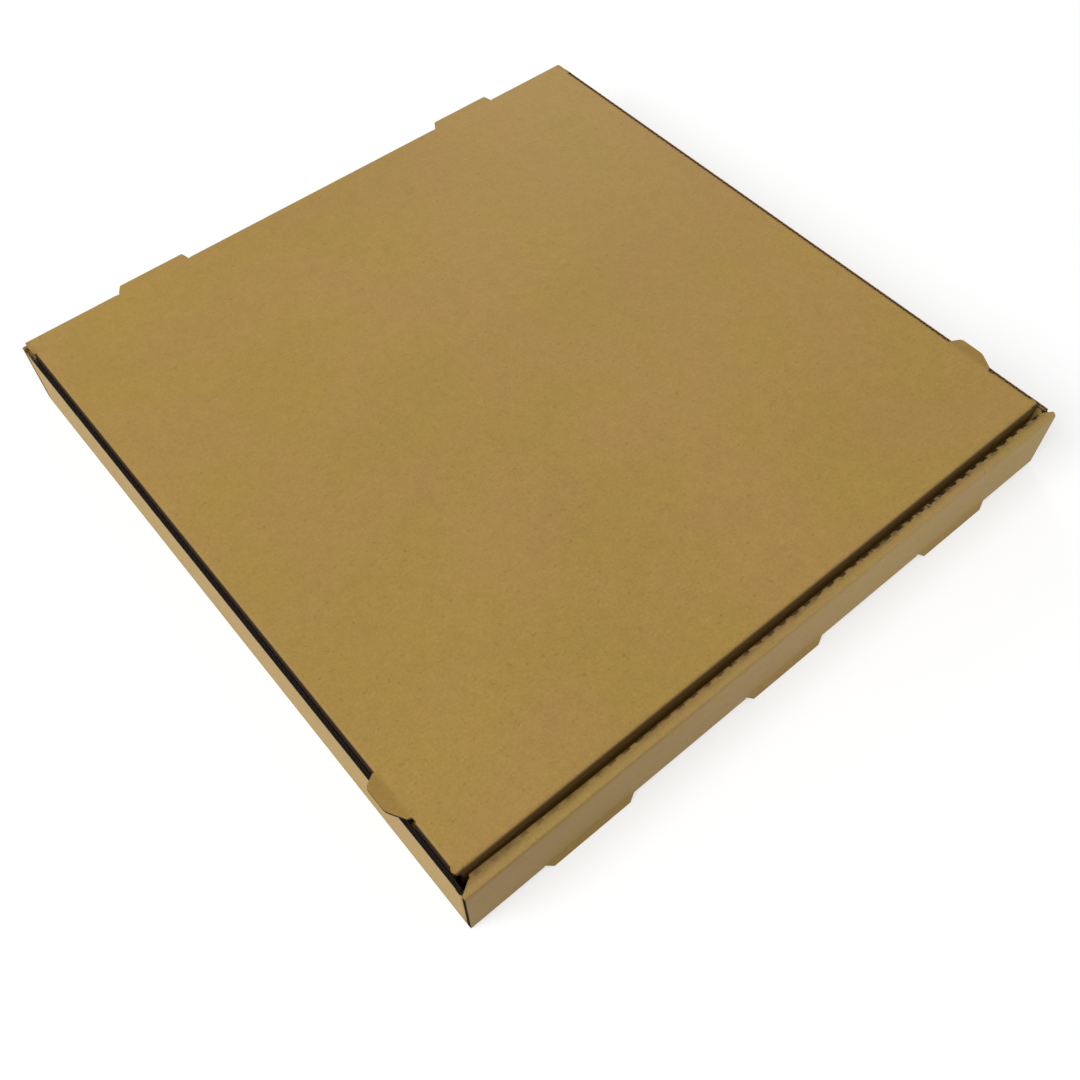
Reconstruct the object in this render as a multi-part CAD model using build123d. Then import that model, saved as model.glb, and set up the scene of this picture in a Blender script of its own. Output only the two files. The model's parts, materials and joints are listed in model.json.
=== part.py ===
from build123d import *
import os

# A twelve inch pizza box, folded from one die-cut sheet of thin corrugated board.
# The tray is the floor with its four walls. The front wall is doubled: it rolls over at the
# top and comes down again inside, where three lock tabs drop into slots in the floor.
# The lid hangs on the crease along the top of the back wall and closes inside the walls.
# Millimetres. X runs along the front wall, Y from front to back, Z up. The origin is the
# bottom centre of the closed box, tabs included.

# Sheet and overall size
board = 1.6             # thickness of the corrugated board
fold_out = 2.0          # radius round the outside of a fold
width = 310.5           # over the outer faces of the side walls
depth = 315.5           # over the outer faces of the front and back walls
height = 35.0           # floor to the top of the closed lid

# Clearances
layer_gap = 0.4         # between folded layers that lie on each other
lid_side_gap = 0.5      # side wall to the lid's side flap
lid_front_gap = 2.3     # doubled front wall to the lid's front flap
hinge_gap = 0.3         # across the crease, and under what the lid rests over

# Doubled front wall
roll_drop = 1.2         # top of the rolled edge, below the top of the lid
roll_taper = 6.0        # how far the inner panel stops short at each end
perf_pitch = 6.5        # cuts that let the board roll over
perf_length = 3.6
perf_width = 0.9
perf_depth = 3.0
perf_margin = 9.0       # plain stretch at each end of the row of cuts

# Lock tabs along the front of the floor
lock_pitch = 100.8
lock_root = 43.0        # width of the outer tab where it leaves the wall
lock_tip = 36.4
lock_rise = 3.0         # height at which the outer tab starts to flare
lock_flare = 1.6        # how far its tip stands in front of the wall
lock_inner = 36.0       # width of the inner panel's tab
lock_lift = 0.2         # tip of the inner tab above the ground

# Corner flaps on the ends of the side walls
flap_length = 62.0
flap_corner = 6.0       # rounding of each free corner
rear_flap_drop = 7.5    # top of the rear flaps, below the top of the lid

# Lid
lid_front_flap = 27.0   # depth of the front flap, from the top of the lid
lid_side_flap = 25.0    # depth of each side flap
lid_flap_corner = 10.0
lid_front_inset = 0.4   # each end of the front flap, inside the fold of the side
lid_side_rear = 9.0     # the side flaps stop this far from the back wall

# Tabs that stay in the plane of the lid behind the crease
hinge_tab_pitch = 178.8
hinge_tab_root = 36.0
hinge_tab_out = 4.0     # beyond the outer face of the back wall
hinge_rake_left = 3.2   # how far each end leans in over the length of the tab
hinge_rake_right = 1.2

# Thumb tabs that stay in the plane of the lid over the side walls
thumb_start = 24.7      # from the lid's front face to where the tab leaves the edge
thumb_length = 21.5
thumb_out = 4.6
thumb_front_run = 8.0   # length of the sloping front end
thumb_rear_run = 2.6
thumb_front_radius = 6.0
thumb_rear_radius = 2.4
thumb_relief = 1.6      # radius of the round nick at the front of the tab
thumb_window = 6.5      # depth of the hole that each tab leaves in its side flap

# Worked-out places
fold_mid = fold_out - board / 2
half_board = board / 2
side_x = width / 2
front_y = (lock_flare - depth - hinge_tab_out) / 2
back_y = front_y + depth
roll_top = height - roll_drop
roll_inner = front_y + 3 * board + 2 * layer_gap
inner_half = side_x - roll_taper
wall_top = height - board - hinge_gap
lid_side = side_x - board - lid_side_gap
lid_front = roll_inner + lid_front_gap
hinge_y = back_y - half_board
hinge_z = height - half_board
hinge_tab_length = hinge_tab_out + half_board


def block(x0, x1, y0, y1, z0, z1):
    """A box between two corners."""
    centre = Pos((x0 + x1) / 2, (y0 + y1) / 2, (z0 + z1) / 2)
    return centre * Box(x1 - x0, y1 - y0, z1 - z0)


def bent_board(plane, points, half_length):
    """Board that follows a bent centre line in a plane, carried both ways along its normal."""
    line = FilletPolyline(*points, radius=fold_mid)
    return extrude(plane * trace(line, board), half_length, both=True)


def hinge_tab_outline(clear):
    """Outline of a hinge tab with its root on Y = 0; clear widens and lengthens it."""
    half = hinge_tab_root / 2 + clear
    tip = hinge_tab_length + clear
    outline = Polyline(
        (-half, 0), (-half + hinge_rake_left, tip), (half - hinge_rake_right, tip), (half, 0), close=True
    )
    return make_face(outline)


def front_to_back():
    """Doubled front wall, floor and back wall as one bent strip."""
    inner_y = roll_inner - half_board
    outer_y = front_y + half_board
    roll_z = roll_top - half_board
    points = [
        (inner_y, board + layer_gap),
        (inner_y, roll_z),
        (outer_y, roll_z),
        (outer_y, half_board),
        (back_y - half_board, half_board),
        (back_y - half_board, wall_top),
    ]
    strip = bent_board(Plane.YZ, points, side_x)
    taper = Polyline(
        (side_x + 1, front_y + board), (side_x, front_y + board), (inner_half, roll_inner),
        (inner_half, roll_inner + 1), (side_x + 1, roll_inner + 1), close=True
    )
    corner = Pos(0, 0, board + layer_gap / 2) * extrude(make_face(taper), height)
    return strip - corner - mirror(corner, Plane.YZ)


def perforations():
    """The row of short cuts along the inner fold of the rolled edge."""
    run = 2 * (inner_half - perf_margin)
    count = int(run // perf_pitch) + 1
    half_row = (count - 1) * perf_pitch / 2
    y = roll_inner - fold_out
    z = roll_top - fold_out
    cut = Pos(0, y, z) * Rot(-45, 0, 0) * Pos(0, 0, fold_out) * Box(perf_length, perf_width, perf_depth)
    return [Pos(i * perf_pitch - half_row, 0, 0) * cut for i in range(count)]


def lock_tab(tray, x):
    """Slot in the floor at x, the flared tab in front of it and the inner panel's tab in it."""
    half = lock_root / 2
    slot = block(x - half, x + half, front_y - 1, roll_inner + hinge_gap, -1, board + layer_gap / 2)
    under_wall = block(x - half, x + half, front_y - 1, front_y + board + layer_gap / 2, -1, lock_rise)
    root = Pos(x, front_y + half_board, lock_rise) * Rectangle(lock_root, board)
    tip = Pos(x, front_y + half_board - lock_flare, 0) * Rectangle(lock_tip, board)
    inner_half_width = lock_inner / 2
    inner = block(
        x - inner_half_width, x + inner_half_width, roll_inner - board, roll_inner,
        lock_lift, board + 2 * layer_gap
    )
    return tray - slot - under_wall + loft([root, tip]) + inner


def side_wall():
    """Left side wall with its front and rear corner flaps, above the fold of the floor."""
    mid_x = half_board - side_x
    tip_x = fold_out + flap_length - side_x
    front_mid = front_y + board + layer_gap + half_board
    back_mid = back_y - board - layer_gap - half_board
    line = FilletPolyline(
        (tip_x, front_mid), (mid_x, front_mid), (mid_x, back_mid), (tip_x, back_mid), radius=fold_mid
    )
    walls = Pos(0, 0, fold_out) * extrude(trace(line, board), wall_top - fold_out)
    front_top = roll_top - board - layer_gap
    rear_top = height - rear_flap_drop
    front_end = front_mid - half_board + fold_out
    back_end = back_mid + half_board - fold_out
    walls -= block(-side_x - 1, tip_x + 1, front_y, front_end, front_top, height)
    walls -= block(-side_x - 1, tip_x + 1, back_end, back_y, rear_top, height)
    free_corners = walls.edges().filter_by(Axis.Y).group_by(Axis.X)[-1]
    return fillet(free_corners, flap_corner)


def floor_side_folds():
    """The folds that run along the floor under both side walls."""
    mid_x = side_x - half_board
    top = fold_out + layer_gap
    points = [(-mid_x, top), (-mid_x, half_board), (mid_x, half_board), (mid_x, top)]
    length = depth - 2 * fold_out
    strip = bent_board(Plane.XZ, points, length / 2)
    return Pos(0, (front_y + back_y) / 2, 0) * strip


def hinge_tab_places():
    """X of each hinge tab."""
    return [-hinge_tab_pitch / 2, hinge_tab_pitch / 2]


def make_tray():
    """Floor, doubled front wall, side walls with corner flaps, and back wall."""
    tray = front_to_back() - perforations()
    tray += floor_side_folds()
    for x in (-lock_pitch, 0, lock_pitch):
        tray = lock_tab(tray, x)
    left = side_wall()
    tray = tray + left + mirror(left, Plane.YZ)
    notch = extrude(Plane.XZ * mirror(hinge_tab_outline(2 * hinge_gap), Plane.XZ), board, both=True)
    for x in hinge_tab_places():
        tray -= Pos(x, hinge_y, hinge_z) * notch
    return tray


def thumb_tab():
    """Right-hand thumb tab, from the flat of the lid out over the side wall."""
    start = lid_front + thumb_start
    end = start + thumb_length
    inner = lid_side - fold_out
    outer = lid_side + thumb_out
    outline = Polyline(
        (inner, start), (lid_side, start), (outer, start + thumb_front_run),
        (outer, end - thumb_rear_run), (lid_side, end), (inner, end), close=True
    )
    tab = extrude(Pos(0, 0, height - board) * make_face(outline), board)
    corners = tab.edges().filter_by(Axis.Z).group_by(Axis.X)[-1].sort_by(Axis.Y)
    tab = fillet(corners[0], thumb_front_radius)
    corners = tab.edges().filter_by(Axis.Z).filter_by_position(Axis.X, outer - 0.1, outer + 0.1)
    return fillet(corners.sort_by(Axis.Y)[-1], thumb_rear_radius)


def lid_top_and_sides():
    """Top panel with its front flap and side flaps."""
    top_z = height - half_board
    front_mid = lid_front + half_board
    side_mid = lid_side - half_board
    front_points = [(front_mid, height - lid_front_flap), (front_mid, top_z), (hinge_y, top_z)]
    front = bent_board(Plane.YZ, front_points, lid_side - fold_out - lid_front_inset)
    front = fillet(front.edges().filter_by(Axis.Y).group_by(Axis.Z)[0], lid_flap_corner)
    side_bottom = height - lid_side_flap
    side_points = [(-side_mid, side_bottom), (-side_mid, top_z), (side_mid, top_z), (side_mid, side_bottom)]
    side_start = lid_front + fold_out
    side_end = back_y - lid_side_rear
    sides = bent_board(Plane.XZ, side_points, (side_end - side_start) / 2)
    sides = Pos(0, (side_start + side_end) / 2, 0) * sides
    sides = fillet(sides.edges().filter_by(Axis.X).group_by(Axis.Z)[0], lid_flap_corner)
    rear = block(-lid_side, lid_side, side_end, hinge_y, height - board, height)
    lid = front + sides + rear
    for x in (fold_out - lid_side, lid_side - fold_out):
        lid += Pos(x, side_start, top_z) * Cylinder(fold_out, board)
    return lid


def make_lid():
    """Top panel, its flaps, the round edge that turns at the crease, and the tabs."""
    lid = lid_top_and_sides()
    lid += Pos(0, hinge_y, hinge_z) * Rot(0, 90, 0) * Cylinder(half_board, 2 * lid_side)
    tab = extrude(hinge_tab_outline(0), half_board, both=True)
    for x in hinge_tab_places():
        lid += Pos(x, hinge_y, hinge_z) * tab
    start = lid_front + thumb_start
    end = start + thumb_length
    window = block(lid_side - fold_out, side_x, start, end, height - thumb_window, height + 1)
    relief = Pos(lid_side, start - thumb_relief / 2, height - board) * Cylinder(thumb_relief, 3 * board)
    tab = thumb_tab() - relief
    lid = lid - window - mirror(window, Plane.YZ) - relief - mirror(relief, Plane.YZ)
    return lid + tab + mirror(tab, Plane.YZ)


os.makedirs("parts", exist_ok=True)
export_step(make_tray(), "parts/tray.step")
export_step(make_lid(), "parts/lid.step")
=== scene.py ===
# %% [markdown]
# # A pizza box folded from one sheet of kraft corrugated board
#
# The real box is one die-cut sheet. Its front wall is doubled and rolls over at the top, and its lid
# hangs on a crease along the back wall. The tray and the lid come from the CAD model as two folded
# solids, which stay as they are. This lesson gives them their paper, and then adds what a solid
# sheet leaves out: the open flutes along the cut edges, torn and swollen paper along the rolled
# edge, and the skin of the crease.

# %% Load the folded box
import json
import math

import bpy
import numpy as np
from mathutils import Matrix, Vector


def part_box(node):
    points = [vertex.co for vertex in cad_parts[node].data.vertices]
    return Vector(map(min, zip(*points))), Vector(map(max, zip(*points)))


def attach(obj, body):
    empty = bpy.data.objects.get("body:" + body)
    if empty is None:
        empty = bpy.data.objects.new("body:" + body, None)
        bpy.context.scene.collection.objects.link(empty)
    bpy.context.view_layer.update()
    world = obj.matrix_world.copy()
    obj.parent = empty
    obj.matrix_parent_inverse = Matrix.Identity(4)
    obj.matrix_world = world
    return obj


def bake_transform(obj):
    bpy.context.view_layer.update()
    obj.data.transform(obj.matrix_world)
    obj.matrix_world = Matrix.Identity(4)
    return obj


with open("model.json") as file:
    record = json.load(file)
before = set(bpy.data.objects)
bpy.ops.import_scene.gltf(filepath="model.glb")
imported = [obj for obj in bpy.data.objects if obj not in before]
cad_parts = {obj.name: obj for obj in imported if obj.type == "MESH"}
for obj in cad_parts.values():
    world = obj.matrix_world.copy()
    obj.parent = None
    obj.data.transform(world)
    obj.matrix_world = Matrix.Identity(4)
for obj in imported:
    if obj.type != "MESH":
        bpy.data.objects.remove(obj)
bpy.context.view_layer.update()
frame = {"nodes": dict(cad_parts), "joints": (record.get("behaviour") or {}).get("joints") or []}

tray = frame["nodes"]["tray"]
lid = frame["nodes"]["lid"]

# %% [markdown]
# ## Where things are on the box
#
# Places could be typed in as numbers. These are worked out from the boxes of the two solids and from
# the hinge instead, so a new width, depth or height of the CAD model carries through. The gaps and
# folds don't show in any box, so their sizes are repeated here. A board's thickness is twice the
# distance from the hinge axis, which runs in the middle of the board, to the top of the lid.

# %% Places read from the frame
MM = 0.001
hinge_gap = 0.3 * MM
lid_side_gap = 0.5 * MM
lock_flare = 1.6 * MM
fold_out = 2.0 * MM
layer_gap = 0.4 * MM

tray_low, tray_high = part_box("tray")
lid_low, lid_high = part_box("lid")
hinge_y, hinge_z = frame["joints"][0]["pos_m"][1:]
lid_top = lid_high.z
half_board = lid_top - hinge_z
board = 2 * half_board
back_y = hinge_y + half_board
front_y = tray_low.y + lock_flare
side_x = tray_high.x
roll_top = tray_high.z
wall_top = lid_top - board - hinge_gap
lid_side = side_x - board - lid_side_gap
lid_front = lid_low.y
roll_inner = front_y + 3 * board + 2 * layer_gap
roll_taper = 6.0 * MM
inner_half = side_x - roll_taper
print("board", round(board / MM, 2), "mm, wall top", round(wall_top / MM, 2), "mm")

# %% [markdown]
# ## Camera
#
# The camera looks down on the near left corner of the box. A Track To constraint could aim it, but it
# can't lean the picture to one side. So the camera's three axes are worked out from the place it
# stands at and the point it looks at, and are then rolled a little about the line of sight.

# %% Camera
camera_place = Vector((-0.20367, -0.26004, 0.40604))
camera_target = Vector((-0.04836, -0.06883, 0.035))
camera_roll = math.radians(-1.1234)

forward = (camera_target - camera_place).normalized()
level_right = forward.cross(Vector((0, 0, 1))).normalized()
level_up = level_right.cross(forward)
camera_right = math.cos(camera_roll) * level_right + math.sin(camera_roll) * level_up
camera_up = math.cos(camera_roll) * level_up - math.sin(camera_roll) * level_right

camera_data = bpy.data.cameras.new("box_camera")
camera_data.sensor_width = 36
camera_data.lens = 38.556
camera = bpy.data.objects.new("box_camera", camera_data)
camera_axes = Matrix((camera_right, camera_up, -forward)).transposed()
camera.matrix_world = Matrix.Translation(camera_place) @ camera_axes.to_4x4()
bpy.context.scene.collection.objects.link(camera)
bpy.context.scene.camera = camera
print("camera distance", round((camera_target - camera_place).length, 3), "m")

# %% [markdown]
# ## Lamps
#
# Board is matt, so it wants a plain soft studio: a large lamp on the left, a low one for the front
# wall, and a small one behind for a faint sheen at the far right. Their watts could be found by
# trial. Here they are rated by the brightness that a white card facing them would show, where 1 is
# white, because such shares add up. An area lamp of power P at distance d gives the card
# P / (pi * pi * d * d). World and lamps together bring the top of the lid to about 1, so that the
# paper renders in about the colour that it is given.

# %% Lamps
bpy.context.scene.view_settings.view_transform = "Standard"


def soft_lamp(name, place, width, height, share):
    """Area lamp at place that looks at the box; share is the brightness of a facing card."""
    data = bpy.data.lights.new(name, "AREA")
    data.shape = "RECTANGLE"
    data.size = width
    data.size_y = height
    place = Vector(place)
    data.energy = share * math.pi ** 2 * place.length_squared
    lamp = bpy.data.objects.new(name, data)
    lamp.matrix_world = Matrix.Translation(place) @ place.to_track_quat("Z", "Y").to_matrix().to_4x4()
    lamp.visible_camera = False
    bpy.context.scene.collection.objects.link(lamp)
    print(name, "is rated at", round(data.energy), "W")


soft_lamp("key_left", (-2.0, 0.1, 1.85), 1.6, 1.6, 0.86)
soft_lamp("low_front", (1.5, -1.7, 0.32), 2.0, 0.5, 0.29)
soft_lamp("sheen_back", (0.6, 0.66, 0.46), 0.3, 0.3, 0.14)

# %% [markdown]
# ## Helpers for shader nodes
#
# A material is a graph of nodes. It could be wired by hand in the shader editor, but then it couldn't
# be read or changed here. Each of these functions adds a node or two and returns the output, so that
# a graph is written like a formula.

# %% Shader helpers
def add_node(tree, kind, sockets=None, **settings):
    """One shader node. Plain values go on its sockets, and sockets of other nodes are linked."""
    node = tree.nodes.new("ShaderNode" + kind)
    for name, value in settings.items():
        setattr(node, name, value)
    for key, value in (sockets or {}).items():
        if isinstance(value, bpy.types.NodeSocket):
            tree.links.new(value, node.inputs[key])
        else:
            node.inputs[key].default_value = value
    return node


def calc(tree, operation, *values):
    """Result of a Math node; each value is a number or a socket."""
    return add_node(tree, "Math", dict(enumerate(values)), operation=operation).outputs[0]


def ramp(tree, value, low, high, at_low=0.0, at_high=1.0):
    """Smooth step of value from at_low, where it is low, to at_high, where it is high."""
    sockets = {"Value": value, "From Min": low, "From Max": high, "To Min": at_low, "To Max": at_high}
    return add_node(tree, "MapRange", sockets, interpolation_type="SMOOTHSTEP").outputs[0]


def noise(tree, position, scale, detail=2.0, roughness=0.5):
    """Smooth random value between 0 and 1; scale is in features for each metre."""
    sockets = {"Vector": position, "Scale": scale, "Detail": detail, "Roughness": roughness}
    return add_node(tree, "TexNoise", sockets).outputs[0]


def mix_colour(tree, amount, first, second, blend_type="MIX"):
    """Colour mix of first and second by amount."""
    node = add_node(tree, "Mix", {0: amount, 6: first, 7: second}, data_type="RGBA", blend_type=blend_type)
    return node.outputs[2]


def new_shader(name):
    """Empty material, and its node tree."""
    material = bpy.data.materials.new(name)
    material.use_nodes = True
    material.node_tree.nodes.clear()
    return material, material.node_tree


def seen_straight(tree):
    """1 for rays that show the backdrop as it is: camera rays, reflections, and rays through glass."""
    path = add_node(tree, "LightPath").outputs
    mirrored = calc(tree, "MAXIMUM", path["Is Glossy Ray"], path["Is Transmission Ray"])
    return calc(tree, "MAXIMUM", path["Is Camera Ray"], mirrored)


# %% [markdown]
# ## World
#
# A white world would make a white backdrop, but it would also flood the box with light. So it is
# white only to rays that show it straight, and the light that falls on the box is a dimmer share.

# %% World
world_share = 0.3

world = bpy.data.worlds.new("studio")
bpy.context.scene.world = world
world.use_nodes = True
world_tree = world.node_tree
world_tree.nodes.clear()
seen = seen_straight(world_tree)
world_level = ramp(world_tree, seen, 0, 1, world_share, 1.0)
sky = add_node(world_tree, "Background", {"Color": (1, 1, 1, 1), "Strength": world_level})
add_node(world_tree, "OutputWorld", {"Surface": sky.outputs[0]})
print("the world gives a share of", world_share)

# %% [markdown]
# ## A pale floor that keeps the shadow
#
# A white card under soft light shows uneven greys. So the floor is plain pale card only for light that
# bounces. For the camera it is a darker card with some white glow added, which shows white where the
# light is full and pale grey in the shadow. Away from the box it turns into plain white, so that no
# horizon shows in low views. It lies a tenth of a millimetre below the box, because two surfaces at
# one height flicker into each other.

# %% Floor
floor_half = 4.0
floor_drop = 0.1 * MM
floor_bounce = 0.8
floor_seen = 0.45
floor_glow = 0.62
white_from = 0.45
white_to = 0.9

floor_mesh = bpy.data.meshes.new("floor")
corners = [(-floor_half, -floor_half, -floor_drop), (floor_half, -floor_half, -floor_drop),
           (floor_half, floor_half, -floor_drop), (-floor_half, floor_half, -floor_drop)]
floor_mesh.from_pydata(corners, [], [(0, 1, 2, 3)])
floor = bpy.data.objects.new("floor", floor_mesh)
bpy.context.scene.collection.objects.link(floor)

floor_paper, tree = new_shader("floor_card")
bounce = add_node(tree, "BsdfDiffuse", {"Color": (floor_bounce, floor_bounce, floor_bounce, 1)})
card = add_node(tree, "BsdfDiffuse", {"Color": (floor_seen, floor_seen, floor_seen, 1)})
glow = add_node(tree, "Emission", {"Color": (1, 1, 1, 1), "Strength": floor_glow})
near_box = add_node(tree, "AddShader", {0: card.outputs[0], 1: glow.outputs[0]})
white = add_node(tree, "Emission", {"Color": (1, 1, 1, 1), "Strength": 1.0})
floor_place = add_node(tree, "TexCoord").outputs["Object"]
from_box = add_node(tree, "VectorMath", {0: floor_place}, operation="LENGTH").outputs["Value"]
far_off = ramp(tree, from_box, white_from, white_to)
shown = add_node(tree, "MixShader", {0: far_off, 1: near_box.outputs[0], 2: white.outputs[0]})
surface = add_node(tree, "MixShader", {0: seen_straight(tree), 1: bounce.outputs[0], 2: shown.outputs[0]})
add_node(tree, "OutputMaterial", {"Surface": surface.outputs[0]})
floor_mesh.materials.append(floor_paper)
print("floor", 2 * floor_half, "m wide, plain white beyond", white_to, "m")

# %% [markdown]
# ## Kraft liner
#
# Kraft liner is unbleached pulp. Seen near, it is a felt of pale and dark fibres a millimetre or two
# long with small dark flecks, and seen from further off it drifts between greener and pinker brown
# in patches a few centimetres across. A picture of paper could be laid on, but it would repeat and
# blur. Noise on object coordinates stays sharp and runs over the folds without a seam. It is one node
# group with a colour, a roughness and a height, so every part of the sheet can use it with a shade
# of its own.

# %% Node group: kraft liner
def new_group(name, inputs, outputs):
    """Node group with the named sockets; returns its tree, input node and output node."""
    group = bpy.data.node_groups.new(name, "ShaderNodeTree")
    for socket, kind in inputs.items():
        group.interface.new_socket(socket, in_out="INPUT", socket_type="NodeSocket" + kind)
    for socket, kind in outputs.items():
        group.interface.new_socket(socket, in_out="OUTPUT", socket_type="NodeSocket" + kind)
    return group, group.nodes.new("NodeGroupInput"), group.nodes.new("NodeGroupOutput")


def stretched(tree, position, stretch):
    """Position scaled by another factor along each axis, which draws noise out into fibres."""
    return add_node(tree, "VectorMath", {0: position, 1: stretch}, operation="MULTIPLY").outputs[0]


greener_tint = (0.989, 1.006, 0.94, 1)
pinker_tint = (1.011, 0.99, 1.07, 1)

kraft_liner, entry, result = new_group(
    "kraft_liner",
    {"Position": "Vector", "Kraft": "Color"},
    {"Color": "Color", "Roughness": "Float", "Height": "Float"},
)
tree = kraft_liner
where = entry.outputs["Position"]
patches = noise(tree, where, 24, 2)
drift = noise(tree, stretched(tree, where, (1.0, 1.6, 1.3)), 9, 1)
cloud = noise(tree, where, 210, 3, 0.6)
felt = noise(tree, where, 950, 4, 0.75)
lengthways = noise(tree, stretched(tree, where, (0.35, 2.0, 2.0)), 750, 2)
crossways = noise(tree, stretched(tree, where, (2.0, 0.4, 0.9)), 700, 2)
flecks = noise(tree, where, 620, 1)

greener = mix_colour(tree, 1.0, entry.outputs["Kraft"], greener_tint, "MULTIPLY")
pinker = mix_colour(tree, 1.0, entry.outputs["Kraft"], pinker_tint, "MULTIPLY")
colour = mix_colour(tree, ramp(tree, patches, 0.36, 0.64), greener, pinker)
value = ramp(tree, cloud, 0.25, 0.75, 0.965, 1.035)
value = calc(tree, "MULTIPLY", value, ramp(tree, drift, 0.3, 0.7, 0.975, 1.02))
value = calc(tree, "MULTIPLY", value, ramp(tree, felt, 0.25, 0.75, 0.9, 1.1))
straws = calc(tree, "MAXIMUM", ramp(tree, lengthways, 0.6, 0.78), ramp(tree, crossways, 0.61, 0.79))
value = calc(tree, "MULTIPLY", value, calc(tree, "MULTIPLY_ADD", straws, 0.1, 1.0))
value = calc(tree, "MULTIPLY", value, ramp(tree, flecks, 0.64, 0.78, 1.0, 0.84))
shade = add_node(tree, "CombineColor", {0: value, 1: value, 2: value}).outputs[0]
colour = mix_colour(tree, 1.0, colour, shade, "MULTIPLY")
tree.links.new(colour, result.inputs["Color"])
tree.links.new(ramp(tree, felt, 0.3, 0.7, 0.52, 0.64), result.inputs["Roughness"])
height = calc(tree, "ADD", calc(tree, "MULTIPLY", felt, 0.6), calc(tree, "MULTIPLY", straws, 0.4))
tree.links.new(height, result.inputs["Height"])
print("kraft liner group:", len(tree.nodes), "nodes")

# %% [markdown]
# ## Cut edges and flutes
#
# A knife cut opens the board: two thin liners with a wave of fluting between them, and dark channels
# behind. The flutes run across the box, parallel to the hinge, so a cut that faces left or right or
# the top of a side wall shows the wave, and a cut that faces front or back runs along one flute. The
# channels could be cut out of the solid, but the CAD mesh is not to be changed. So this group draws
# the section on the flat cut as a mask, with the pitch of the modelled flutes that stand on it later:
# a point is paper where it is within about half a paper's thickness of the wave, or in a liner.
# Elsewhere the cut face is painted near black, as the shade in the hollow channels.

# %% Node group: section of the board
flute_pitch = 3.3 * MM
liner_thickness = 0.18 * MM
medium_thickness = 0.15 * MM
flute_swing = half_board - liner_thickness - medium_thickness / 2

board_section, entry, result = new_group(
    "board_section", {"Along": "Float", "Across": "Float"}, {"Paper": "Float"},
)
tree = board_section
turn = calc(tree, "SINE", calc(tree, "MULTIPLY", entry.outputs["Along"], 2 * math.pi / flute_pitch))
wave = calc(tree, "MULTIPLY", turn, flute_swing)
off_wave = calc(tree, "ABSOLUTE", calc(tree, "SUBTRACT", entry.outputs["Across"], wave))
medium = ramp(tree, off_wave, 0.5 * medium_thickness, 0.9 * medium_thickness, 1.0, 0.0)
off_middle = calc(tree, "ABSOLUTE", entry.outputs["Across"])
liner_start = half_board - liner_thickness
liners = ramp(tree, off_middle, liner_start - 0.04 * MM, liner_start + 0.04 * MM)
tree.links.new(calc(tree, "MAXIMUM", medium, liners), result.inputs["Paper"])
print("board section group:", len(tree.nodes), "nodes, flute pitch", flute_pitch / MM, "mm")

# %% [markdown]
# ## The board itself
#
# One function makes the material of a folded piece. It reads object coordinates and the piece's own
# normal, lays the liner over everything, presses the faint washboard of the flutes into it, and puts
# the section of the board on the faces that a knife has cut. Each piece says where its cut faces
# are, where it is darker from wear, and where shade is painted on. A material for each face would
# be simpler to read, but the CAD mesh keeps its single slot, so places and normals pick the faces out.

# %% Shade of cut paper
# Near black on the left rim and the front corner is painted shade, where the lid's edge overhangs the cut.
shaded_cut = (0.02, 0.016, 0.015, 1)
fresh_cut = (0.40, 0.23, 0.09, 1)
shaded_until, fresh_from = -0.06, 0.12
back_fade = (14 * MM, 4 * MM)
rim_fade = (8 * MM, 3 * MM)
corner_fade = (2 * MM, 5 * MM)


def cut_paper_shade(tree, p):
    """Colour of cut paper at position p: near black with painted shade on the left along the rim and
    down the front corner, and its fresh colour on the right, at the hinge and inside the box."""
    unshaded_right = ramp(tree, p[0], shaded_until, fresh_from)
    unshaded_back = ramp(tree, p[1], back_y - back_fade[0], back_y - back_fade[1])
    below_rim = ramp(tree, p[2], wall_top - rim_fade[0], wall_top - rim_fade[1], 1.0, 0.0)
    off_corner = ramp(tree, p[1], front_y + corner_fade[0], front_y + corner_fade[1])
    inside = calc(tree, "MULTIPLY", below_rim, off_corner)
    unshaded = calc(tree, "MAXIMUM", unshaded_right, calc(tree, "MAXIMUM", unshaded_back, inside))
    return mix_colour(tree, unshaded, shaded_cut, fresh_cut)


# %% Kraft board material
# Painted shade of the hollow flute channels on a cut face.
channel_shade_colour = (0.008, 0.007, 0.006, 1)
# Near black of the dark marks: torn liner, and painted shade in rims, slits and seams.
dark_mark_colour = (0.021, 0.012, 0.007, 1)
# Tone of the darkening: wear, and painted shade on folds and on the front wall.
darkening_tone = (0.72, 0.68, 0.62, 1)
washboard_share = 0.35
swell_scale = 15
swell_height = 0.9 * MM
fibre_height = 0.06 * MM
board_specular = 0.22


def group_node(tree, group, sockets):
    """Node of a shared group with its sockets set or linked."""
    node = tree.nodes.new("ShaderNodeGroup")
    node.node_tree = group
    for key, value in sockets.items():
        if isinstance(value, bpy.types.NodeSocket):
            tree.links.new(value, node.inputs[key])
        else:
            node.inputs[key].default_value = value
    return node


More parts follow.
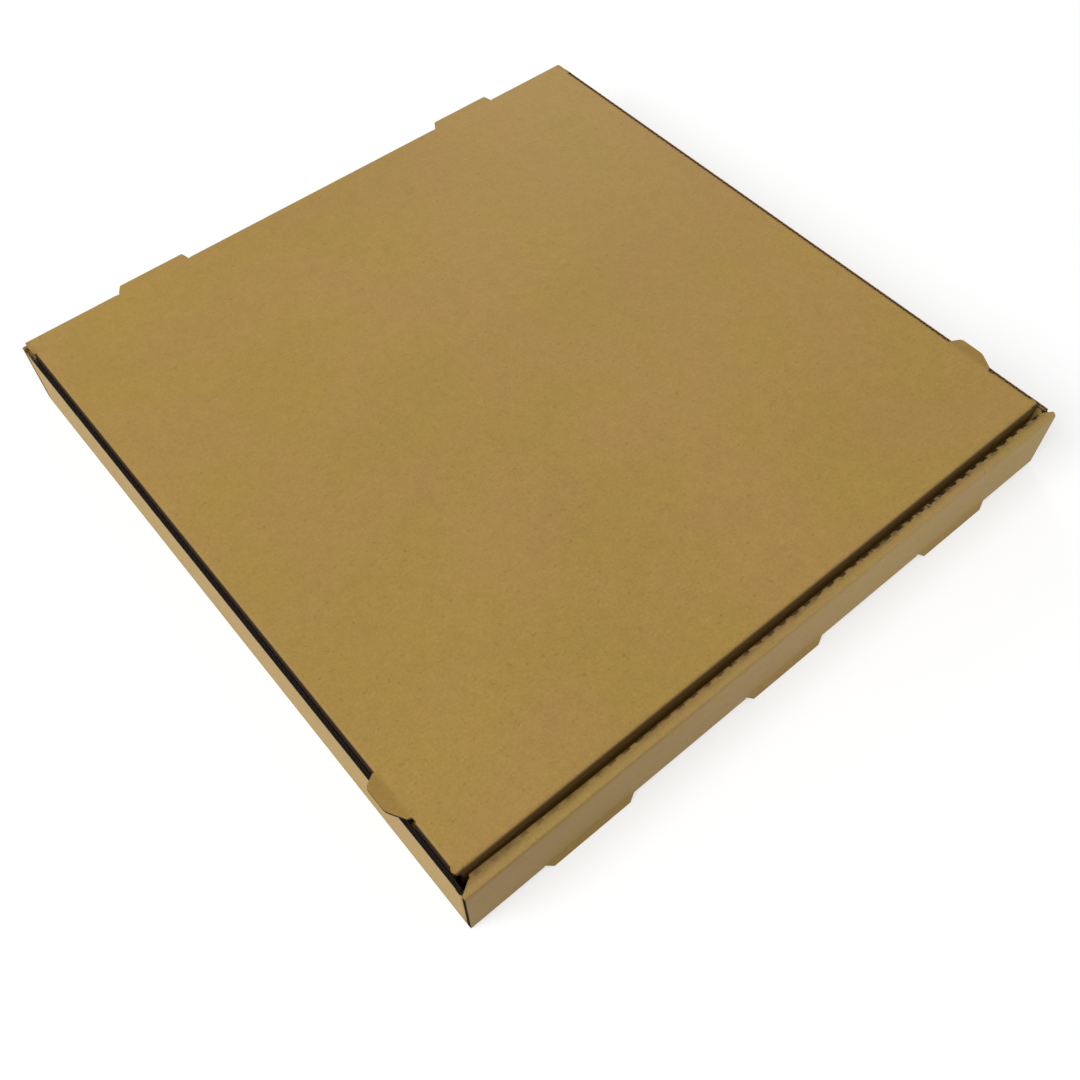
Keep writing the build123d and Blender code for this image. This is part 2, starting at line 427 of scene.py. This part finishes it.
def kraft_board(name, kraft, shift, marks):
    """Board material. marks returns sockets for cut, along, across, darkening and dark marks, from the
    position, its parts p, the parts n of the normal and their sizes s. Darkening and dark marks hold
    both wear and painted shade."""
    material, tree = new_shader(name)
    coordinates = add_node(tree, "TexCoord")
    position = coordinates.outputs["Object"]
    p = add_node(tree, "SeparateXYZ", {0: position}).outputs
    n = add_node(tree, "SeparateXYZ", {0: coordinates.outputs["Normal"]}).outputs
    s = [calc(tree, "ABSOLUTE", part) for part in n]
    shifted = add_node(tree, "VectorMath", {0: position, 1: shift}, operation="ADD").outputs[0]
    liner = group_node(tree, kraft_liner, {"Position": shifted, "Kraft": kraft})
    cut, along, across, darkening, dark_marks = marks(tree, position, p, n, s)
    section = group_node(tree, board_section, {"Along": along, "Across": across})
    # On a cut face, what isn't paper gets the painted shade of the channels.
    open_cut = mix_colour(tree, section.outputs["Paper"], channel_shade_colour, cut_paper_shade(tree, p))
    # The darkening and the dark marks of a piece hold wear as well as painted shade.
    darkened = mix_colour(tree, 1.0, liner.outputs["Color"], darkening_tone, "MULTIPLY")
    colour = mix_colour(tree, darkening, liner.outputs["Color"], darkened)
    colour = mix_colour(tree, dark_marks, colour, dark_mark_colour)
    colour = mix_colour(tree, cut, colour, open_cut)
    faces_front = ramp(tree, s[1], 0.6, 0.8)
    lies_flat = calc(tree, "SUBTRACT", 1.0, faces_front)
    across_flutes = calc(tree, "ADD", calc(tree, "MULTIPLY", p[1], lies_flat),
                         calc(tree, "MULTIPLY", p[2], faces_front))
    washboard = calc(tree, "SINE", calc(tree, "MULTIPLY", across_flutes, 2 * math.pi / flute_pitch))
    height = calc(tree, "MULTIPLY_ADD", washboard, washboard_share, liner.outputs["Height"])
    height = calc(tree, "ADD", height, calc(tree, "MULTIPLY", cut, section.outputs["Paper"]))
    waves = noise(tree, shifted, swell_scale, 1)
    swell = add_node(tree, "Bump", {"Strength": 1.0, "Distance": swell_height, "Height": waves})
    bump = add_node(tree, "Bump", {"Strength": 0.35, "Distance": fibre_height, "Height": height,
                                   "Normal": swell.outputs[0]})
    roughness = calc(tree, "MAXIMUM", liner.outputs["Roughness"], calc(tree, "MAXIMUM", cut, dark_marks))
    sockets = {"Base Color": colour, "Roughness": roughness, "Normal": bump.outputs[0],
               "Specular IOR Level": board_specular}
    surface = add_node(tree, "BsdfPrincipled", sockets)
    add_node(tree, "OutputMaterial", {"Surface": surface.outputs[0]})
    return material


# %% [markdown]
# ## Marks on the lid
#
# The knife has cut the ends of the lid's tabs, the rear ends of its panel and the bottoms of its
# flaps. The front and side folds are painted a little darker, as shade where they turn down, and the
# left and front ones are painted near black where they turn down into the gaps, as the shade in the
# gaps. All of these could be painted on. Masks worked out from places and normals do the same, and
# they move along when the CAD model gets a new width or depth.

# %% Soft limits
def above(tree, value, limit, softness=0.02 * MM):
    """1 where value is over limit, and 0 below it."""
    return ramp(tree, value, limit - softness, limit + softness)


def below(tree, value, limit, softness=0.02 * MM):
    """1 where value is under limit, and 0 above it."""
    return ramp(tree, value, limit - softness, limit + softness, 1.0, 0.0)


# %% Lid: cuts, and painted shade on the folds and rims
lid_side_rear = 9.0 * MM
side_flap_depth = 25.0 * MM
front_flap_depth = 27.0 * MM
just_past = 0.05 * MM
# Painted shade: the front and side folds are darker over this width, where they turn down.
fold_shade_width = 1.2 * MM
# Near-black painted shade on the left and front rims, where the folds turn down into the gaps.
side_rim_width = 0.9 * MM
front_rim_width = 0.7 * MM
rim_drop = 2.2 * MM
flap_clear = 2 * MM
fold_shade = 0.6
front_rim_strength = 0.8


def lid_marks(tree, position, p, n, s):
    """Cut where a flat tab or the rear of the panel ends, and along the bottoms of the flaps. Painted
    shade along the front and side folds, and near-black painted shade where the left and front folds
    turn down into the gaps."""
    off_middle = calc(tree, "ABSOLUTE", p[0])
    beyond_side = above(tree, off_middle, lid_side + just_past)
    behind = above(tree, p[1], back_y + just_past)
    rear_end = calc(tree, "MULTIPLY", above(tree, s[0], 0.97, 0.01),
                    above(tree, p[1], back_y - lid_side_rear + 0.02 * MM))
    upright = below(tree, s[2], 0.3, 0.05)
    tab = calc(tree, "MULTIPLY", upright, calc(tree, "MAXIMUM", beyond_side, behind))
    cut = calc(tree, "MAXIMUM", tab, rear_end)
    flap_end = calc(tree, "MULTIPLY", below(tree, n[2], -0.5, 0.05),
                    below(tree, p[2], lid_top - board - flap_clear))
    cut = calc(tree, "MAXIMUM", cut, flap_end)
    across = calc(tree, "SUBTRACT", p[2], hinge_z)
    # Painted shade along the front and side folds.
    edge = calc(tree, "MAXIMUM", below(tree, p[1], lid_front + fold_shade_width, fold_shade_width),
                above(tree, off_middle, lid_side - fold_shade_width, fold_shade_width))
    darkening = calc(tree, "MULTIPLY", edge, fold_shade)
    # Near-black painted shade on the rims of the left and front folds, passed on as dark marks.
    faces_left = below(tree, n[0], -0.4, 0.15)
    left_rim = below(tree, p[0], side_rim_width - lid_side, 0.4 * MM)
    left_rim = calc(tree, "MULTIPLY", left_rim, faces_left)
    front_rim = below(tree, p[1], lid_front + front_rim_width, 0.45 * MM)
    front_rim = calc(tree, "MULTIPLY", front_rim, front_rim_strength)
    rim = calc(tree, "MULTIPLY", calc(tree, "MAXIMUM", left_rim, front_rim),
               above(tree, p[2], lid_top - rim_drop, 0.4 * MM))
    return cut, p[1], across, darkening, rim


# %% [markdown]
# ## Marks on the tray
#
# The knife has cut the tops of the side walls and the ends of the front wall. The rolled edge of the
# front wall is the most worn part of the box: it is creased along a row of short cuts, and a comb of
# dark teeth shows where the liner of its inner shoulder is torn. The shoulder is also darker in
# blotches towards the groove and gets a notch of painted shade at each short cut. The slits of the
# short cuts and the seams at the two ends of the roll get painted shade too, and the front wall is
# painted darker towards its left end, as shade. One painted mask could hold all of that. Here each
# mark is a mask of its own and the darkest one wins, so that any of them can be changed alone.

# %% Tray: cut faces
floor_clear = 5 * MM
cut_slack = 0.2 * MM


def tray_cut(tree, p, n, s):
    """Cut on the tops of the side walls and at the ends of the front wall; also the places along and
    across the board there."""
    wall = calc(tree, "MULTIPLY", above(tree, n[2], 0.9, 0.02), above(tree, p[2], floor_clear))
    wall = calc(tree, "MULTIPLY", wall, below(tree, p[2], wall_top + cut_slack))
    wall = calc(tree, "MULTIPLY", wall, below(tree, p[1], back_y - board - cut_slack))
    wall = calc(tree, "MULTIPLY", wall, above(tree, p[1], front_y + 2 * board))
    front_end = calc(tree, "MULTIPLY", above(tree, s[0], 0.5, 0.02),
                     below(tree, p[1], front_y + board + cut_slack))
    cut = calc(tree, "MAXIMUM", wall, front_end)
    from_wall = calc(tree, "SUBTRACT", calc(tree, "ABSOLUTE", p[0]), side_x - half_board)
    from_front = calc(tree, "SUBTRACT", p[1], front_y + half_board)
    along = calc(tree, "ADD", calc(tree, "MULTIPLY", wall, p[1]),
                 calc(tree, "MULTIPLY", front_end, p[2]))
    across = calc(tree, "ADD", calc(tree, "MULTIPLY", wall, from_wall),
                  calc(tree, "MULTIPLY", front_end, from_front))
    return cut, along, across


# %% Tray: dark marks on the roll's inner shoulder
perf_pitch = 6.5 * MM
perf_length = 3.6 * MM
perf_margin = 9.0 * MM
row_half = inner_half - perf_margin
cut_count = int(2 * row_half // perf_pitch) + 1
cut_x = (np.arange(cut_count) - (cut_count - 1) / 2) * perf_pitch
blotch_width = 2.2 * MM
blotch_strength = 0.75
notch_depth = 1.7 * MM
raggedness = 1.2 * MM
tooth_scale = 520
shallow_tooth, deep_tooth = 1.0 * MM, 3.2 * MM
wear_from, wear_to = -0.15, 0.12
teeth_from, teeth_to = -0.09, 0.09


def roll_blotches(tree, position, p):
    """Dark blotches towards the groove, from noise drawn out along the roll."""
    blotches = noise(tree, stretched(tree, position, (0.5, 1.0, 1.0)), 190, 3, 0.65)
    inner_edge = above(tree, p[1], roll_inner - blotch_width, 1.2 * MM)
    blotched = calc(tree, "MULTIPLY", inner_edge, ramp(tree, blotches, 0.42, 0.64))
    return calc(tree, "MULTIPLY", blotched, blotch_strength)


def roll_notch_shade(tree, position, p):
    """A notch of painted shade with a ragged outline at each short cut: x is wrapped to the distance
    from the nearest cut, and noise moves the ends and the depth."""
    from_first = calc(tree, "SUBTRACT", p[0], float(cut_x[0]))
    off_cut = calc(tree, "WRAP", from_first, perf_pitch / 2, -perf_pitch / 2)
    ragged = calc(tree, "MULTIPLY_ADD", noise(tree, position, 420, 2), 2 * raggedness, -raggedness)
    off_cut = calc(tree, "ADD", calc(tree, "ABSOLUTE", off_cut), ragged)
    beside_cut = below(tree, off_cut, perf_length / 2 - 0.3 * MM, 0.3 * MM)
    notch_line = calc(tree, "MULTIPLY_ADD", ragged, 0.8, roll_inner - notch_depth)
    past_line = calc(tree, "SUBTRACT", p[1], notch_line)
    return calc(tree, "MULTIPLY", beside_cut, ramp(tree, past_line, 0.0, 0.4 * MM))


def roll_teeth(tree, position, p):
    """Teeth of torn liner: a comb of fine noise, past a line whose reach is coarser noise along X."""
    comb = noise(tree, stretched(tree, position, (1.0, 0.3, 0.3)), tooth_scale, 2, 0.6)
    reach = noise(tree, stretched(tree, position, (1.0, 0.0, 0.0)), 110, 3, 0.7)
    tooth_line = ramp(tree, reach, 0.3, 0.7, roll_inner - shallow_tooth, roll_inner - deep_tooth)
    past_line = calc(tree, "SUBTRACT", p[1], tooth_line)
    teeth = calc(tree, "MULTIPLY", ramp(tree, comb, 0.46, 0.62),
                 ramp(tree, past_line, -0.2 * MM, 1.2 * MM))
    return calc(tree, "MULTIPLY", teeth, ramp(tree, p[0], teeth_from, teeth_to, 0.0, 0.9))


def roll_dark_marks(tree, position, p, on_top):
    """The darkest of blotches, notch shade and torn teeth on top of the roll; all grow stronger to the
    right.
    """
    dark_marks = calc(tree, "MAXIMUM", roll_blotches(tree, position, p), roll_notch_shade(tree, position, p))
    dark_marks = calc(tree, "MULTIPLY", dark_marks, ramp(tree, p[0], wear_from, wear_to, 0.35, 1.0))
    dark_marks = calc(tree, "MAXIMUM", dark_marks, roll_teeth(tree, position, p))
    return calc(tree, "MULTIPLY", dark_marks, on_top)


print(cut_count, "short cuts along the roll, one every", perf_pitch / MM, "mm")


# %% Tray: painted shade in slits and seams, darker faces
roll_shoulder = 1.4 * MM
slit_depth = 0.07 * MM
slit_below = 0.6 * MM
slit_behind = 0.8 * MM
seam_near, seam_far = 0.2 * MM, 1.1 * MM
seam_low, seam_high = 6 * MM, wall_top
seam_faint, seam_dark = 0.15, 0.9
# Painted shade on the front wall, darker towards its left end.
front_shade_from, front_shade_to = -0.16, 0.06
front_shade_strength = 0.75
bottom_rub = 0.4


def slit_shade(tree, p):
    """Painted shade inside the roll's short cuts: points nearer to the fold's axis than its outer arc."""
    fold_y = calc(tree, "SUBTRACT", p[1], roll_inner - fold_out)
    fold_z = calc(tree, "SUBTRACT", p[2], roll_top - fold_out)
    from_fold = calc(tree, "SQRT", calc(tree, "ADD", calc(tree, "MULTIPLY", fold_y, fold_y),
                                        calc(tree, "MULTIPLY", fold_z, fold_z)))
    slit = below(tree, from_fold, fold_out - slit_depth)
    slit = calc(tree, "MULTIPLY", slit, above(tree, fold_z, -slit_below))
    return calc(tree, "MULTIPLY", slit, above(tree, fold_y, -slit_behind))


def seam_shade(tree, p):
    """Painted shade in the seam behind the front wall, beyond the ends of the roll; it fades downwards."""
    seam = calc(tree, "MULTIPLY", below(tree, p[1], front_y + board + seam_far, 0.5 * MM),
                above(tree, p[1], front_y + board + seam_near, 0.05 * MM))
    seam = calc(tree, "MULTIPLY", seam, ramp(tree, p[2], seam_low, seam_high, seam_faint, seam_dark))
    seam = calc(tree, "MULTIPLY", seam, above(tree, calc(tree, "ABSOLUTE", p[0]), inner_half))
    return calc(tree, "MULTIPLY", seam, below(tree, p[2], wall_top - 0.05 * MM))


def tray_darkening(tree, p, n, on_top):
    """Darker on the roll, more towards the lid; rubbed along the bottom edge; and painted shade on the
    front wall, stronger towards its left end.
    """
    towards_lid = ramp(tree, p[1], front_y + 0.8 * MM, roll_inner - 0.3 * MM)
    on_roll = calc(tree, "MULTIPLY", on_top, towards_lid)
    bottom_edge = calc(tree, "MULTIPLY", below(tree, p[2], 1.5 * MM, 1.5 * MM), bottom_rub)
    # Painted shade: the front wall is darker towards its left end.
    shaded_left = ramp(tree, p[0], front_shade_from, front_shade_to, front_shade_strength, 0.0)
    front_shade = calc(tree, "MULTIPLY", below(tree, n[1], -0.7, 0.1), shaded_left)
    darkening = calc(tree, "MAXIMUM", on_roll, bottom_edge)
    return calc(tree, "MAXIMUM", darkening, front_shade)


def tray_marks(tree, position, p, n, s):
    """All the marks of the tray, from the functions above."""
    cut, along, across = tray_cut(tree, p, n, s)
    on_top = above(tree, p[2], roll_top - roll_shoulder, 1.0 * MM)
    dark_marks = roll_dark_marks(tree, position, p, on_top)
    dark_marks = calc(tree, "MAXIMUM", dark_marks, slit_shade(tree, p))
    dark_marks = calc(tree, "MAXIMUM", dark_marks, seam_shade(tree, p))
    return cut, along, across, tray_darkening(tree, p, n, on_top), dark_marks


# %% [markdown]
# ## Two shades of board
#
# The lid and the tray are one sheet, and one function makes both of their materials. The tray's kraft
# is a little less yellow, and its noise is shifted so that it doesn't repeat the patches of the lid.

# %% Materials of the two solids
lid_kraft = (0.384, 0.24, 0.061, 1)
tray_kraft = (0.367, 0.239, 0.07, 1)
lid_shift = (0.0, 0.0, 0.0)
tray_shift = (0.7, 0.3, 0.1)
lid_board = kraft_board("kraft_board_lid", lid_kraft, lid_shift, lid_marks)
tray_board = kraft_board("kraft_board_tray", tray_kraft, tray_shift, tray_marks)
for node, material in ((lid, lid_board), (tray, tray_board)):
    node.data.materials.clear()
    node.data.materials.append(material)
    print(node.name, "wears", material.name)

# %% [markdown]
# ## Open flutes along the cut edges
#
# On the real board the fluting stands in the cut as a ribbon that swings from liner to liner. A boolean
# could cut the channels, but the solid stays as it is, and hundreds of cuts would make it heavy. Here
# the ribbon is a small rectangle carried along a sine: centre + swing * sin(2 pi s / pitch), where s
# runs along the cut. Two straight strips beside it are the liners. They stand a fifth of a millimetre
# proud of the solid, whose cut face is painted near black as the shade in the depth of the channels.

# %% A section carried along a path
def carried(centre, side, up, section):
    """Closed surface P(i, j) = centre(i) + u(i, j) side(i) + v(i, j) up(i), for a loop (u, v) carried
    along a path, with both ends closed. Returns points and faces that point outwards."""
    rings = centre[:, None] + section[..., :1] * side[:, None] + section[..., 1:] * up[:, None]
    count, corners = rings.shape[:2]
    i = np.arange(count - 1)[:, None] * corners
    j = np.arange(corners)[None, :]
    k = (j + 1) % corners
    walls = np.stack([i + j, i + k, i + k + corners, i + j + corners], axis=-1).reshape(-1, 4)
    first = np.arange(corners)[::-1]
    last = np.arange(corners) + (count - 1) * corners
    faces = walls.tolist() + [first.tolist(), last.tolist()]
    if np.dot(np.cross(side[0], up[0]), centre[1] - centre[0]) < 0:
        faces = [face[::-1] for face in faces]
    return rings.reshape(-1, 3), faces


def join(shapes):
    """One list of points and one of faces out of several."""
    point_sets, face_sets = zip(*shapes)
    starts = np.cumsum([0] + [len(points) for points in point_sets])
    faces = [[corner + int(start) for corner in face]
             for start, face_set in zip(starts, face_sets) for face in face_set]
    return np.concatenate(point_sets), faces


def add_piece(name, points, faces, material):
    """Mesh object at the origin whose place is in its points."""
    mesh = bpy.data.meshes.new(name)
    mesh.from_pydata(points.tolist(), [], faces)
    mesh.materials.append(material)
    piece = bpy.data.objects.new(name, mesh)
    bpy.context.scene.collection.objects.link(piece)
    return piece


# %% Paper of the cut edges
cut_roughness = 0.95
cut_specular = 0.1
cut_fibre_height = 0.05 * MM

cut_paper, tree = new_shader("cut_paper")
cut_coordinates = add_node(tree, "TexCoord").outputs["Object"]
# The cut paper gets the painted shade of cut_paper_shade on the left rim and the front corner.
cut_shade = cut_paper_shade(tree, add_node(tree, "SeparateXYZ", {0: cut_coordinates}).outputs)
cut_liner = group_node(tree, kraft_liner, {"Position": cut_coordinates, "Kraft": cut_shade})
cut_bump = add_node(tree, "Bump", {
    "Strength": 0.4, "Distance": cut_fibre_height, "Height": cut_liner.outputs["Height"],
})
cut_surface = add_node(tree, "BsdfPrincipled", {
    "Base Color": cut_liner.outputs["Color"], "Roughness": cut_roughness,
    "Normal": cut_bump.outputs[0], "Specular IOR Level": cut_specular,
})
add_node(tree, "OutputMaterial", {"Surface": cut_surface.outputs[0]})
print("cut paper material:", len(tree.nodes), "nodes")

# %% A fluted edge
flute_rise = 0.2 * MM
flute_steps = 14


def rectangle(width, height):
    """Corners of a rectangle that stands on u, anticlockwise."""
    return np.array([(-width / 2, 0), (width / 2, 0), (width / 2, height), (-width / 2, height)])


def fluted_edge(start, end, across, outward):
    """Two liners and a sine ribbon along the straight cut from start to end.
    The ribbon's middle is P(s) = start + s d + swing sin(2 pi s / pitch) across, with d along the cut."""
    start, end, across, outward = (np.array(v, float) for v in (start, end, across, outward))
    length = np.linalg.norm(end - start)
    direction = (end - start) / length
    s = np.linspace(0, length, max(4, int(flute_steps * length / flute_pitch)))
    phase = 2 * np.pi * (s + np.dot(start, direction)) / flute_pitch
    line = start + s[:, None] * direction
    centre = line + flute_swing * np.sin(phase)[:, None] * across
    slope = flute_swing * 2 * np.pi / flute_pitch * np.cos(phase)
    side = (across - slope[:, None] * direction) / np.hypot(1, slope)[:, None]
    up = np.broadcast_to(outward, centre.shape)
    shapes = [carried(centre, side, up, rectangle(medium_thickness, flute_rise))]
    ends = np.array([start, end])
    for offset in (-1, 1):
        middle = ends + offset * (half_board - liner_thickness / 2) * across
        shapes.append(carried(middle, np.array([across, across]), np.array([outward, outward]),
                              rectangle(liner_thickness, flute_rise)))
    return join(shapes)


# %% Where the walls and flaps are cut
flap_corner = 10.0 * MM
rear_flap_drop = 7.5 * MM
rear_flap_gap = 0.4 * MM
rear_flap_reach = (2.1 * MM, 57.9 * MM)
wall_margin = 4.05 * MM
front_end_low = 2.1 * MM
front_end_high = 31.9 * MM
panel_margins = (0.05 * MM, 0.2 * MM)
fold_margin = 0.1 * MM
lid_front_inset = 0.4 * MM
side_flap_bottom = lid_top - side_flap_depth

edges = {}
for word, way in (("left", -1), ("right", 1)):
    wall_x = way * (side_x - half_board)
    edges["side_wall_flutes_" + word] = ("tray", [
        ((wall_x, front_y + wall_margin, wall_top), (wall_x, back_y - wall_margin, wall_top),
         (1, 0, 0), (0, 0, 1)),
    ])
    front_line = front_y + half_board
    edges["front_wall_flutes_" + word] = ("tray", [
        ((way * side_x, front_line, front_end_low), (way * side_x, front_line, front_end_high),
         (0, 1, 0), (way, 0, 0)),
    ])
    rear_line = back_y - board - rear_flap_gap - half_board
    rear_top = lid_top - rear_flap_drop
    edges["rear_flap_flutes_" + word] = ("tray", [
        ((way * (side_x - rear_flap_reach[0]), rear_line, rear_top),
         (way * (side_x - rear_flap_reach[1]), rear_line, rear_top),
         (0, 1, 0), (0, 0, 1)),
    ])
    flap_x = way * (lid_side - half_board)
    edges["side_flap_flutes_" + word] = ("lid", [
        ((flap_x, lid_front + fold_out + flap_corner, side_flap_bottom),
         (flap_x, back_y - lid_side_rear - flap_corner, side_flap_bottom), (1, 0, 0), (0, 0, -1)),
        ((way * lid_side, back_y - lid_side_rear + panel_margins[0], hinge_z),
         (way * lid_side, hinge_y - panel_margins[1], hinge_z), (0, 0, 1), (way, 0, 0)),
    ])
    front_flap_end = way * (lid_side - fold_out - lid_front_inset)
    edges["front_flap_flutes_" + word] = ("lid", [
        ((front_flap_end, lid_front + half_board, lid_top - front_flap_depth + flap_corner),
         (front_flap_end, lid_front + half_board, lid_top - fold_out - fold_margin),
         (0, 1, 0), (way, 0, 0)),
    ])
print(sum(len(cuts) for body, cuts in edges.values()), "cuts on the walls and flaps")


# %% Where the hinge tabs are cut
hinge_tab_pitch = 178.8 * MM
hinge_tab_root = 36.0 * MM
hinge_tab_out = 4.0 * MM
hinge_rake = {-1: 3.2 * MM, 1: 1.2 * MM}
tab_margin = 0.15 * MM


def hinge_tab_end(tab_middle, way):
    """The raked end of a hinge tab: from where it clears the back wall to just short of its tip."""
    length = back_y - hinge_y + hinge_tab_out
    reach = np.array([back_y - hinge_y + tab_margin, length - tab_margin])
    xs = tab_middle + way * (hinge_tab_root / 2 - hinge_rake[way] * reach / length)
    outward = np.array([way * length, hinge_rake[way], 0.0])
    outward = outward / np.linalg.norm(outward)
    return (xs[0], hinge_y + reach[0], hinge_z), (xs[1], hinge_y + reach[1], hinge_z), (0, 0, 1), outward


for word, way in (("left", -1), ("right", 1)):
    middle = way * hinge_tab_pitch / 2
    edges["hinge_tab_flutes_" + word] = ("lid", [hinge_tab_end(middle, -1), hinge_tab_end(middle, 1)])
print("hinge tabs", round(hinge_tab_pitch / MM, 1), "mm apart")

# %% The fluted edges themselves
for name, (body, cuts) in edges.items():
    points, faces = join([fluted_edge(*cut) for cut in cuts])
    piece = add_piece(name, points, faces, cut_paper)
    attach(piece, body)
    print(name, len(points), "points, rides on", body)

# %% [markdown]
# ## Torn liner along the rolled edge
#
# Short cuts let the board roll over, and beside each of them the liner tears and lifts. A torn lip is a
# thin strip that follows the edge and stands up from its rounded shoulder into the groove. Hair could
# make finer fibres, but a small mesh survives an export. The height is h(t) = h0 sin(pi t) with a rough
# random part, so a lip dies away at both ends. The lips get taller towards the right, where the real
# edge is more worn. A fixed seed makes the same tears every time.

# %% Torn lips
lip_thickness = 0.14 * MM
lip_steps = 15
lip_root = 0.05 * MM
lip_wander = 0.1
tear_seed = 7
dice = np.random.default_rng(tear_seed)
shoulder = math.radians(38)
lip_y = roll_inner - fold_out + fold_out * math.sin(shoulder)
lip_z = roll_top - fold_out + fold_out * math.cos(shoulder)


def torn_lip(middle, length, height, lean):
    """Strip along X from middle - length/2 to middle + length/2, of height h(t), leaning by lean."""
    t = np.linspace(0, 1, lip_steps)
    rough = dice.uniform(0.45, 1.0, t.size)
    tall = height * np.sin(np.pi * t) * rough + 0.02 * MM
    wander = dice.uniform(-lip_wander, lip_wander, t.size) * MM
    foot_z = np.full_like(t, lip_z - lip_root)
    centre = np.stack([middle + (t - 0.5) * length, lip_y + wander, foot_z], axis=1)
    up = np.broadcast_to(np.array([0.0, math.sin(lean), math.cos(lean)]), centre.shape)
    side = np.broadcast_to(np.array([0.0, math.cos(lean), -math.sin(lean)]), centre.shape)
    u = np.array([-0.5, 0.5, 0.5, -0.5]) * lip_thickness
    v = np.stack([0 * tall, 0 * tall, tall, tall], axis=1)
    section = np.stack([np.broadcast_to(u, v.shape), v], axis=-1)
    return carried(centre, side, up, section)


lips = []
for x in cut_x:
    wear = 0.5 + 0.5 * (x + row_half) / (2 * row_half)
    height = dice.uniform(0.25, 0.95) * wear * MM
    length = dice.uniform(2.4, 5.6) * MM
    middle = x + dice.uniform(-0.6, 0.6) * MM
    lean = math.radians(dice.uniform(25, 75))
    lips.append(torn_lip(middle, length, height, lean))
points, faces = join(lips)
torn_edge = add_piece("torn_roll_edge", points, faces, tray_board)
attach(torn_edge, "tray")
print(len(lips), "torn lips,", len(faces), "faces")

# %% [markdown]
# ## Swell at the left end of the roll
#
# Three layers of board are squeezed together at the corner, so the left end of the roll swells
# towards the lid. The solid's own shoulder can't be moved here, so the swell is a thin shell over it:
# the same arc, moved outwards by an amount that is largest at the corner and dies away along the
# edge. It leaves the lid's front flap enough room to swing out as the lid starts to open.

# %% Swell at the left end of the roll
swell_out = 1.0 * MM
swell_start = -inner_half + 0.3 * MM
swell_end = -0.09
swell_depth = 5.0 * MM
swell_power = 1.5
swell_steps = 60
shell_outside = 0.02 * MM
shell_inside = 0.1 * MM


def swell_section(bulge):
    """Loops (y, z) over the roll's inner shoulder for each value of bulge. The outer line is the
    shoulder moved towards the lid by bulge * w, with w = sin(angle)^2 on the arc, falling to 0 below."""
    angle = np.linspace(math.radians(12), math.radians(90), 10)
    drop = np.linspace(0, 1, 6)[1:]
    y = np.concatenate([np.sin(angle) * fold_out, np.full(drop.size, fold_out)])
    z = np.concatenate([np.cos(angle) * fold_out, -drop * swell_depth])
    w = np.concatenate([np.sin(angle) ** 2, 0.5 + 0.5 * np.cos(np.pi * drop)])
    normal_y = np.concatenate([np.sin(angle), np.ones(drop.size)])
    normal_z = np.concatenate([np.cos(angle), np.zeros(drop.size)])
    outer_y = y + shell_outside * normal_y + bulge[:, None] * w
    outer_z = np.broadcast_to(z + shell_outside * normal_z, outer_y.shape)
    inner_y = np.broadcast_to((y - shell_inside * normal_y)[::-1], outer_y.shape)
    inner_z = np.broadcast_to((z - shell_inside * normal_z)[::-1], outer_y.shape)
    return np.stack([np.concatenate([outer_y, inner_y], axis=1),
                     np.concatenate([outer_z, inner_z], axis=1)], axis=-1)


xs = np.linspace(swell_start, swell_end, swell_steps)
fade_out = (swell_end - xs) / (swell_end - swell_start)
bulge = swell_out * fade_out ** swell_power
fold_y = np.full_like(xs, roll_inner - fold_out)
fold_z = np.full_like(xs, roll_top - fold_out)
centre = np.stack([xs, fold_y, fold_z], axis=1)
side = np.broadcast_to(np.array([0.0, 1.0, 0.0]), centre.shape)
up = np.broadcast_to(np.array([0.0, 0.0, 1.0]), centre.shape)
points, faces = carried(centre, side, up, swell_section(bulge))
roll_swell = add_piece("roll_swell_left", points, faces, tray_board)
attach(roll_swell, "tray")
groove = lid_front - roll_inner
print("swell", round((swell_end - swell_start) / MM), "mm long, groove", round(groove / MM, 2), "mm")

# %% [markdown]
# ## Skin of the crease
#
# At the hinge the outer liner runs on over the crease from the back wall to the lid. A rigid band on
# one of the two would tear away from the other. This thin band starts on the top of the wall and wraps
# the lid's round edge, and it gets thinner towards its end on the lid.

# %% Crease skin
skin_thickness = 0.12 * MM
skin_lift = 0.01 * MM
skin_start = math.radians(-22)
skin_end = math.radians(60)
skin_fade = math.radians(25)
tab_clear = 19.2 * MM
turns = np.linspace(skin_start, skin_end, 14)
fade = np.clip((skin_end - turns) / skin_fade, 0, 1)
outer = half_board + skin_lift + skin_thickness * fade
inner_band = np.stack([hinge_y + half_board * np.cos(turns), hinge_z + half_board * np.sin(turns)], axis=1)
outer_band = np.stack([hinge_y + outer * np.cos(turns), hinge_z + outer * np.sin(turns)], axis=1)
foot_inner = np.array([[back_y - 0.16 * MM, wall_top]])
foot_outer = np.array([[back_y - 0.01 * MM, wall_top]])
skin_loop = np.concatenate([foot_outer, outer_band, inner_band[::-1], foot_inner])
skin_loop = skin_loop - np.array([hinge_y, hinge_z])

tab_x = hinge_tab_pitch / 2
spans = {
    "crease_skin_left": (-lid_side, -tab_x - tab_clear),
    "crease_skin_middle": (-tab_x + tab_clear, tab_x - tab_clear),
    "crease_skin_right": (tab_x + tab_clear, lid_side),
}
skin_steps = 25
for name, (left, right) in spans.items():
    xs = np.linspace(left, right, skin_steps)
    centre = np.stack([xs, np.full_like(xs, hinge_y), np.full_like(xs, hinge_z)], axis=1)
    side = np.broadcast_to(np.array([0.0, 1.0, 0.0]), centre.shape)
    up = np.broadcast_to(np.array([0.0, 0.0, 1.0]), centre.shape)
    points, faces = carried(centre, side, up, skin_loop)
    piece = add_piece(name, points, faces, lid_board)
    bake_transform(piece)
    print(name, round((right - left) / MM, 1), "mm long")
